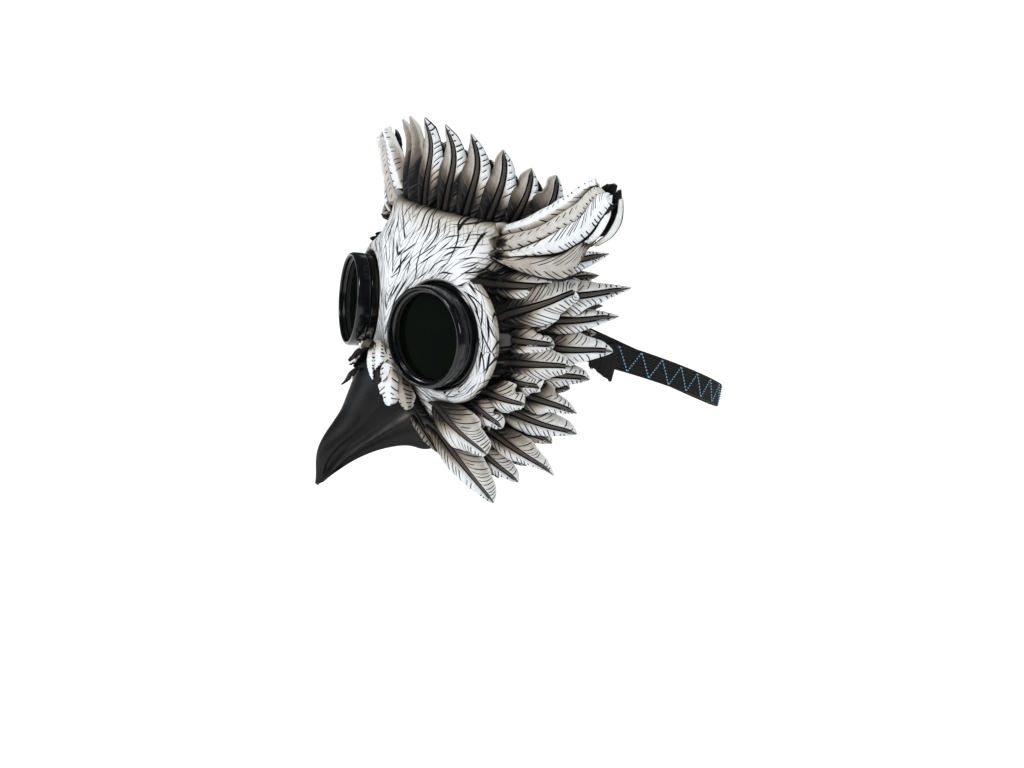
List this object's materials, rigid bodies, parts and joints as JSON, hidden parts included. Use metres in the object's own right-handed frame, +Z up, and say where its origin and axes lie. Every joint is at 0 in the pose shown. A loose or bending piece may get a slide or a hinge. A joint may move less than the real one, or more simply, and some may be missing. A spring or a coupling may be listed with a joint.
{
  "type": "plague doctor mask",
  "caption": "Bird-faced costume half mask with a hooked beak, layered feathers, a feather crest, brow tufts, round screw-on tinted eyepieces and an elastic head strap.",
  "frame": {"origin": "middle of the seat on the bridge between the eyes, at the height of the eyepieces and on the middle plane", "axes": "+Z up, -Y the way the wearer looks, +X towards the wearer's left"},
  "size_m": [0.266, 0.3031, 0.2259],
  "materials": {
    "white_latex": "matte moulded latex, painted white with dark wash in its engraved lines",
    "feather_latex": "matte latex feathers, white with grey-brown ribs and black wash in the grooves",
    "black_rubber": "satin black",
    "gloss_black": "glossy black",
    "matte_black": "matte black",
    "seal_rubber": "soft black",
    "fibre_washer": "dark fibre",
    "tinted_lens": "very dark green, polished",
    "black_elastic": "ribbed woven elastic",
    "blue_thread": "light blue sewing thread",
    "patch_canvas": "black canvas"
  },
  "bodies": {
    "mask": {"face_shell": "white_latex", "beak": "black_rubber", "nose_tuft": "feather_latex", "crest": "feather_latex", "strap": "black_elastic", "strap_stitching": "blue_thread", "left_eyecup": "gloss_black", "left_lock_ring": "matte_black", "left_gasket": "seal_rubber", "left_lens": "tinted_lens", "left_brow_tuft": "feather_latex", "left_outer_feathers": "feather_latex", "left_inner_feathers": "feather_latex", "left_jaw_feathers": "feather_latex", "left_nose_feathers": "feather_latex", "left_strap_patch": "patch_canvas", "right_eyecup": "gloss_black", "right_lock_ring": "matte_black", "right_gasket": "seal_rubber", "right_lens": "tinted_lens", "right_brow_tuft": "feather_latex", "right_outer_feathers": "feather_latex", "right_inner_feathers": "feather_latex", "right_jaw_feathers": "feather_latex", "right_nose_feathers": "feather_latex", "right_strap_patch": "patch_canvas"},
    "left_washer_body": {"left_slip_washer": "fibre_washer"},
    "left_ring_body": {"left_bezel": "gloss_black"},
    "right_washer_body": {"right_slip_washer": "fibre_washer"},
    "right_ring_body": {"right_bezel": "gloss_black"}
  },
  "joints": [
    {"name": "left_bezel_lift", "type": "slide", "parent": "mask", "child": "left_washer_body", "axis": [0.2588, -0.9659, 0], "range_m": [0, 0.0035]},
    {"name": "left_bezel_turn", "type": "hinge", "parent": "left_washer_body", "child": "left_ring_body", "pos_m": [0.0437, -0.014, 0], "axis": [0.2588, -0.9659, 0], "range_deg": [0, 630]},
    {"name": "right_bezel_lift", "type": "slide", "parent": "mask", "child": "right_washer_body", "axis": [-0.2588, -0.9659, 0], "range_m": [0, 0.0035]},
    {"name": "right_bezel_turn", "type": "hinge", "parent": "right_washer_body", "child": "right_ring_body", "pos_m": [-0.0437, -0.014, 0], "axis": [-0.2588, -0.9659, 0], "range_deg": [0, 630]}
  ],
  "couplings": [
    {"joint": "left_bezel_lift", "follows": "left_bezel_turn", "m_per_rad": 0.00031831},
    {"joint": "right_bezel_lift", "follows": "right_bezel_turn", "m_per_rad": 0.00031831}
  ]
}
